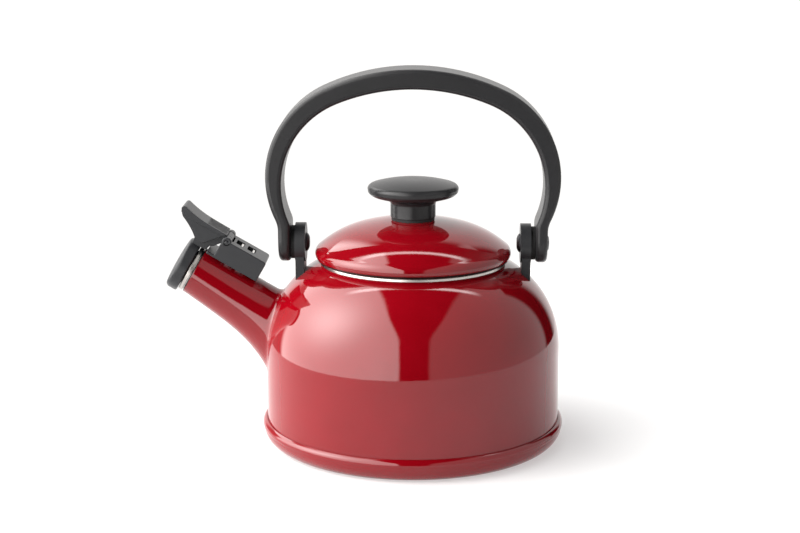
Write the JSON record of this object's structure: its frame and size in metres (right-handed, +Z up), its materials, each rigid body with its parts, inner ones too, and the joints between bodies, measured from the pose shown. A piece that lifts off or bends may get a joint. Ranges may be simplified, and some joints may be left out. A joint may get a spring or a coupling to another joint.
{
  "type": "stovetop whistling kettle",
  "caption": "Round red enamel kettle with a domed lift-off lid, a folding arched black handle and a short spout closed by a flip-up whistle.",
  "frame": {"origin": "centre of the flat base, on the surface that the kettle stands on", "axes": "+Z up along the body's axis, -X towards the spout, +Y towards the back"},
  "size_m": [0.2115, 0.1606, 0.199],
  "materials": {
    "body_enamel": "deep glossy red vitreous enamel, fused glass with a wet shine",
    "base_enamel": "deep glossy red vitreous enamel on the rolled bead and base",
    "spout_enamel": "deep glossy red vitreous enamel",
    "lid_enamel": "deep glossy red vitreous enamel",
    "rim_steel": "bright pressed stainless trim, fine turned grain",
    "lug_black": "black baked coating on steel, satin",
    "blackened_screw": "blackened steel, satin",
    "washer_black": "black nylon, matte",
    "spring_steel": "plain spring steel",
    "whistle_plastic": "charcoal moulded heat-proof plastic, fine matte grain",
    "disc_steel": "bright stamped steel",
    "knob_plastic": "charcoal moulded heat-proof plastic, fine matte grain",
    "gasket_rubber": "black silicone",
    "brass_insert": "turned brass",
    "screw_steel": "zinc-plated steel",
    "grip_plastic": "charcoal moulded heat-proof plastic, fine matte grain",
    "bush_plastic": "natural acetal"
  },
  "bodies": {
    "kettle": {"body_shell": "body_enamel", "base_pan": "base_enamel", "body_rim_ring": "rim_steel", "spout": "spout_enamel", "spout_rim_ring": "rim_steel", "handle_bracket_left": "lug_black", "handle_bracket_right": "lug_black", "pivot_screw_left": "blackened_screw", "pivot_screw_right": "blackened_screw", "pivot_nut_left": "blackened_screw", "pivot_nut_right": "blackened_screw", "pivot_washer_left": "washer_black", "pivot_washer_right": "washer_black", "whistle_clip": "spring_steel", "whistle_housing": "whistle_plastic", "detent_spring": "spring_steel", "flap_hinge_pin": "spring_steel"},
    "lid": {"lid_shell": "lid_enamel", "lid_seat_ring": "rim_steel", "knob_gasket": "gasket_rubber", "knob": "knob_plastic", "knob_insert": "brass_insert", "knob_screw": "screw_steel", "knob_washer": "screw_steel"},
    "handle": {"handle_grip": "grip_plastic", "pivot_bush_left": "bush_plastic", "pivot_bush_right": "bush_plastic"},
    "flap": {"whistle_flap": "whistle_plastic", "whistle_disc_outer": "disc_steel", "whistle_disc_inner": "disc_steel"}
  },
  "joints": [
    {"name": "handle_fold", "type": "hinge", "parent": "kettle", "child": "handle", "pos_m": [0, 0, 0.1064], "axis": [1, 0, 0], "range_deg": [-105, 105]},
    {"name": "lid_lift", "type": "slide", "parent": "kettle", "child": "lid", "axis": [0, 0, 1], "range_m": [0, 0.045]},
    {"name": "whistle_flip", "type": "hinge", "parent": "kettle", "child": "flap", "pos_m": [-0.09763, 0, 0.1081], "axis": [0, 1, 0], "range_deg": [0, 75]}
  ]
}
